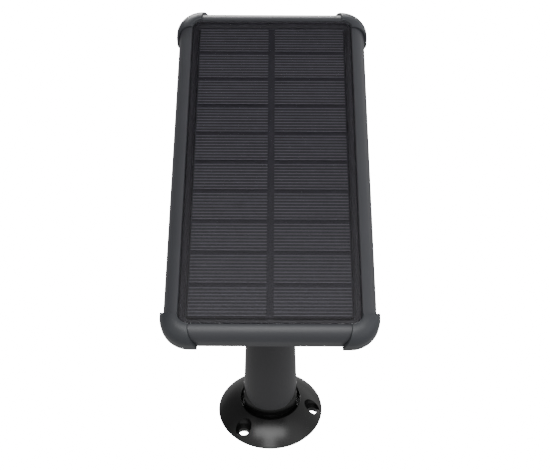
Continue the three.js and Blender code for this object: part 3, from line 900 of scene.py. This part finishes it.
eye = {
    "upper": 8.5,  # radius of the ears and tongue round the upper pin
    "tongue": 3.6,  # half widths across the hinge, from the tongue outwards
    "washerIn": 3.9,
    "washerOut": 4.9,
    "slot": 5.2,
    "earOut": 10.6,
    "hole": 2.7,
}


# A hinge ear in y and z: a half circle round the pin, carried straight to foot; +z is up
def eyeOutline(radius, top, foot, steps=28):
    way = 1 if top else -1
    angle = np.radians(np.linspace(0, 180, steps + 1))
    arc = radius * np.stack([np.cos(angle), way * np.sin(angle)], 1)
    return np.concatenate([arc, [[-radius, foot], [radius, foot]]])


# A y-z outline carried along X, its z measured from height
def slabAlongX(name, outlineYz, low, high, edge, height):
    turned = lambda points: np.stack([points[:, 2], points[:, 0], points[:, 1] + height], 1)
    return slab(name, outlineYz, low, high, edge, turned)


# Points with x along the hinge, y and z across it, measured from the hinge in the panel's frame
def onBracket(points):
    across, along, upward = points[:, 2], points[:, 0], points[:, 1]
    return onPanel(np.stack([across, along - hinge["belowCentre"], upward - hinge["drop"]], 1))


bracket = {
    "plate": (24, 17, 4),  # half sizes and corner radius
    "edge": 0.5,
    "footDepth": 1.2,  # how far the tongue is sunk into the plate
    "ribReach": 5.0,
    "ribHeight": 4.5,
    "ribHalf": 1.2,
    "screwHole": 1.7,
}


# A rounded plate, an ear with a half-round end joined under it, and a rib each side of the ear
def makeBracket():
    low, high = rear["plateLow"], rear["plateHigh"]
    centre = (0, -hinge["belowCentre"])
    shape = roundedOutline(*bracket["plate"], 10)
    plate = slab("panelBracket", shape, low, high, bracket["edge"], onPanel, centre)
    foot = hinge["drop"] + low + bracket["footDepth"]
    ear = eyeOutline(eye["upper"], False, foot)
    join(plate, slab("tongue", ear, -eye["tongue"], eye["tongue"], 0.4, onBracket))
    reach, tall, half = bracket["ribReach"], bracket["ribHeight"], bracket["ribHalf"]
    for side in (-1, 1):
        web = np.array([[0, foot], [0, foot - tall], [reach, foot - 1.1], [reach, foot]]) * (side, 1)
        start = side * (eye["tongue"] - 0.1)

        def beside(points):
            across, along, upward = points[:, 0] + start, points[:, 2], points[:, 1]
            return onPanel(np.stack([across, along - hinge["belowCentre"], upward - hinge["drop"]], 1))

        join(plate, slab("rib", web, -half, half, 0.2, beside))
    cut(plate, rod("bore", eye["hole"], -10, 10, 48, onBracket))
    for spot in bracketSpots:
        cut(plate, rod("hole", bracket["screwHole"], low - 1, high + 1, 24, onPanel, spot))
    finishPiece(plate, "panel", "arm_plastic", "armNylon", "panel_bracket")


makeCover()
makeGland()
makeBracket()
low = rear["low"]
for index, spot in enumerate(coverScrewSpots, 1):
    screw = crossScrew(f"coverScrew_{index}", 1.8, low, -11.9, 0.9, -7.2, onPanel, spot)
    finishPiece(screw, "panel", "screw_steel", "zincSteel", f"cover_screw_{index}")
low = rear["plateLow"]
for index, spot in enumerate(bracketSpots, 1):
    screw = crossScrew(f"bracketScrew_{index}", 2.8, low - 1.8, low - 0.3, 1.4, -9.2, onPanel, spot)
    finishPiece(screw, "panel", "screw_steel", "zincSteel", f"bracket_screw_{index}")
print("panel back ready")

# arm and knuckle

arm = {
    "bottom": 16.4,
    "top": 93.0,
    "bottomRadius": 14.69,
    "topRadius": 11.68,
    "knuckle": 14.5,
    "saddle": 14.6,
    "boss": 2.9,
    "slope": 0.5,
    "sideRise": 8.7,
    "lowerEye": 6.8,
    "neck": 4.5,
    "core": 4.6,  # the hollow up the middle
    "coreLow": 36,
}


# The barrel's radius at x: with depth d = sqrt(saddle^2 - x^2), it is hypot(d, sideRise - slope d)
def barrelRadius(x):
    depth = np.sqrt(np.maximum(arm["boss"] ** 2, arm["saddle"] ** 2 - x**2))
    return np.hypot(depth, arm["sideRise"] - arm["slope"] * depth)


# That radius, less shrink, turned about X
def barrelShape(name, shrink, reach=16.0):
    x = -reach * np.cos(np.linspace(0, math.pi, 61))
    profile = np.concatenate([[[0, -reach]], np.stack([barrelRadius(x) - shrink, x], 1), [[0, reach]]])
    return spin(name, profile, 112, alongX(arm["knuckle"]))


# A straight taper turned about Z, cut by the barrel, with a forked ear above and a tongue below
def makeArm():
    h, top, upper = hinge["height"], arm["top"], arm["topRadius"]
    shoulder = [[upper, top], [upper - 1.2, top + 2], [8.0, top + 2]]
    rounded = filleted(shoulder, 0.5, 3, closed=False)
    outer = [[0, arm["bottom"]], [arm["bottomRadius"], arm["bottom"]], *rounded.tolist(), [0, top + 2]]
    tube = spin("armTube", outer, 128)
    cut(tube, barrelShape("saddle", 0.0))
    ears = eyeOutline(eye["upper"], True, top - h - 0.5)
    fork = slabAlongX("fork", ears, -eye["earOut"], eye["earOut"], 0.5, h)
    combine(fork, rod("trim", upper - 0.2, top - 5, h + 20, 128), "INTERSECT")
    join(tube, fork)
    floor = -eye["upper"] - 1.2
    slot = np.array([[-20, floor], [20, floor], [20, 20], [-20, 20]])
    cut(tube, slabAlongX("slot", slot, -eye["slot"], eye["slot"], 0, h))
    cut(tube, rod("bore", eye["hole"], -20, 20, 48, alongX(h)))
    cut(tube, rod("core", arm["core"], arm["coreLow"], h, 48))
    neck, low = arm["neck"], arm["knuckle"]
    tongue = np.array([[-neck, 0], [neck, 0], [neck, 18], [-neck, 18]])
    join(tube, slabAlongX("neck", tongue, -eye["tongue"], eye["tongue"], 0, low))
    join(tube, rod("lowerEye", arm["lowerEye"], -eye["tongue"], eye["tongue"], 64, alongX(low)))
    cut(tube, rod("bore", eye["hole"], -8, 8, 48, alongX(low)))
    finishPiece(tube, "arm", "arm_plastic", "armNylon", "arm")


well = {
    "table": 15.2,  # radius of the knuckle's foot
    "radius": 16.4,
    "floor": 6.2,
    "floorLow": 4.2,
    "stub": 7.5,
    "trim": 14.6,  # half length of the barrel along X
    "boltSeat": (4.6, 11.2),  # radius, and how far out it starts
    "tiltLimit": 20.0,
}


# The space the arm's neck sweeps from limit to limit, as a y-z outline from the pivot
def tongueRoom():
    half, limit = arm["neck"] + 0.3, math.radians(well["tiltLimit"] + 1)
    y = np.array([half, half, 0, -half, -half])
    z = np.array([0, 20, 24, 20, 0])
    angle = np.array([-limit, -limit, 0, limit, limit])
    turned = [y * np.cos(angle) - z * np.sin(angle), y * np.sin(angle) + z * np.cos(angle)]
    return np.stack(turned, 1)


# The barrel less a running gap, trimmed to the well, on a round foot, with room for the arm's tongue
def makeKnuckle():
    k, low, end = arm["knuckle"], well["floor"] + 0.3, well["trim"]
    body = barrelShape("knuckleBody", 0.3)
    block = np.array([[-end, -20], [end, -20], [end, 20], [-end, 20]])
    combine(body, slab("trim", block, low, 40), "INTERSECT")
    combine(body, rod("trim", well["table"], low - 0.3, 40, 128), "INTERSECT")
    foot = [[0, low], [well["table"], low], [well["table"], low + 1.5], [0, low + 1.5]]
    join(body, spin("foot", filleted(foot, 0.2, 3, closed=False), 128))
    join(body, rod("stub", well["stub"], well["floorLow"] + 0.05, well["floor"] + 1, 64))
    cut(body, rod("room", arm["lowerEye"] + 0.3, -eye["slot"], eye["slot"], 64, alongX(k)))
    cut(body, slabAlongX("sweep", tongueRoom(), -eye["slot"], eye["slot"], 0, k))
    cut(body, rod("bore", eye["hole"], -20, 20, 48, alongX(k)))
    seat, start = well["boltSeat"]
    cut(body, rod("seat", seat, start, 20, 64, alongX(k)), rod("seat", seat, -20, -start, 64, alongX(k)))
    cut(body, rod("bore", 2.3, 0, 9, 32))
    finishPiece(body, "knuckle", "base_plastic", "glossAbs", "knuckle")


bolt = {
    "head": 4.2,
    "thread": 2.4,
    "core": 2.2,
    "tip": 2.0,
    "socket": 2.2,  # corner radius of the hexagon
    "socketDepth": 1.9,
    "nut": 4.3,
    "upper": {"washer": 7.6, "head": (10.9, 14.9), "end": -14, "nut": (-14.5, -10.9)},
    "lower": {"washer": 6.4, "head": (11.5, 14.3), "end": -13.4, "nut": (-14.2, -11.5)},
}


# Turned profiles laid along X: a bolt with a hexagon cut in its head, a hex nut and two washers
def makeHinge(prefix, names, height, body, size):
    place = alongX(height)
    near, far = size["head"]
    end, thread, core = size["end"], bolt["thread"], bolt["core"]
    head = filleted([[0, near], [bolt["head"], near], [bolt["head"], far], [0, far]], 0.4, 3, closed=False)
    pin = spin(f"{prefix}Bolt", head, 64, place)
    shank = [[0, near + 0.5], [core, near + 0.5], [core, near - 4], [thread, near - 4]]
    shank += [[thread, end + 0.4], [bolt["tip"], end], [0, end]]
    join(pin, spin("shank", shank, 48, place))
    cut(pin, slab("socket", hexOutline(bolt["socket"], 0.1), far - bolt["socketDepth"], far + 1, 0, place))
    finishPiece(pin, body, "bolt_steel", "blackSteel", f"{names}_bolt")
    low, high = size["nut"]
    nut = slab(f"{prefix}Nut", hexOutline(bolt["nut"], 0.3), low, high, 0.3, place)
    cut(nut, rod("bore", eye["hole"], low - 1, high + 1, 48, place))
    finishPiece(nut, body, "bolt_steel", "blackSteel", f"{names}_nut")
    inside, outside, hole, rim = eye["washerIn"], eye["washerOut"], eye["hole"], size["washer"]
    for side, low, high in (("left", -outside, -inside), ("right", inside, outside)):
        profile = filleted([[hole, low], [rim, low], [rim, high], [hole, high]], 0.15, 2)
        washer = spin(f"{prefix}Washer_{side}", profile, 64, place)
        finishPiece(washer, body, "washer_nylon", "washerNylon", f"{names}_washer_{side}")


makeArm()
makeKnuckle()
makeHinge("upperHinge", "upper_hinge", hinge["height"], "arm", bolt["upper"])
makeHinge("pivot", "pivot", arm["knuckle"], "knuckle", bolt["lower"])
print("arm and knuckle ready")

# wall base

base = {
    "radius": 29.0,
    "bottom": 1.5,
    "rim": 2.3,
    "dome": 40.0,  # radius of the sphere that the flange is cut from
    "bore": 12,
    "circle": 23.5,
    "hole": 2.6,
    "counterbore": 4.3,
    "seat": 3.3,
    "angles": (-8, 112, 232),
    "pad": (28, 1.2),  # radius and thickness
}


# The dome's height over radius r is rim + sqrt(dome^2 - r^2) - sqrt(dome^2 - radius^2)
def makeBase():
    edge, bottom, dome, bore = base["radius"], base["bottom"], base["dome"], base["bore"]
    radius = np.linspace(edge, well["radius"] + 0.5, 28)
    height = base["rim"] + np.sqrt(dome**2 - radius**2) - math.sqrt(dome**2 - edge**2)
    top = np.stack([radius, height], 1)
    under = [[bore, bottom], [edge - 0.5, bottom], [edge - 0.12, bottom + 0.15], [edge, bottom + 0.5]]
    lip, wall, stub = top[-1, 1], well["radius"], well["stub"] + 0.3
    inside = [
        [wall + 0.2, lip - 0.08],
        [wall, lip - 0.4],
        [wall, well["floor"]],
        [stub, well["floor"]],
        [stub, well["floorLow"]],
        [bore, well["floorLow"]],
    ]
    flange = spin("baseFlange", np.concatenate([under, top, inside]), 160)
    wide, thick = base["pad"]
    seal = filleted([[0, 0], [wide, 0], [wide, thick], [0, thick]], 0.25, 3, closed=False)
    pad = spin("wallPad", seal, 96)
    for angle in np.radians(base["angles"]):
        spot = (base["circle"] * math.cos(angle), base["circle"] * math.sin(angle))
        cut(flange, rod("hole", base["hole"], 0, 20, 48, None, spot))
        cut(flange, rod("seat", base["counterbore"], base["seat"], 20, 72, None, spot))
        cut(pad, rod("hole", base["hole"] + 0.4, -1, 3, 48, None, spot))
    finishPiece(flange, "base", "base_plastic", "glossAbs", "base_flange")
    finishPiece(pad, "base", "gasket_rubber", "gasketRubber", "wall_pad")


holder = {
    "washer": (2.3, 10.5, 2.95, 3.9),  # hole, rim, low and high
    "screw": (3.9, 1.55, 2.65, 1.9, 7.0),  # head radius, low and high, then shank radius and end
}


# A turned ring and a screw that hold the knuckle down in the base
def makeHolder():
    hole, rim, low, high = holder["washer"]
    profile = filleted([[hole, low], [rim, low], [rim, high], [hole, high]], 0.2, 2)
    washer = spin("knuckleWasher", profile, 72)
    finishPiece(washer, "knuckle", "screw_steel", "zincSteel", "knuckle_washer")
    screw = crossScrew("knuckleScrew", *holder["screw"], None, (0, 0))
    finishPiece(screw, "knuckle", "screw_steel", "zincSteel", "knuckle_screw")


makeBase()
makeHolder()
print("base ready")

# these inner parts keep their shapes from the frame and only get their materials

kept = {
    "cell_board": "backingLaminate",
    "bus_ribbon_left": "tinnedCopper",
    "bus_ribbon_right": "tinnedCopper",
    "regulator_board": "solderMask",
    "regulator_chip": "chipEpoxy",
}
for node, finish in kept.items():
    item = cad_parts[node]
    item.data.materials.clear()
    item.data.materials.append(finishes[finish])

print("done")
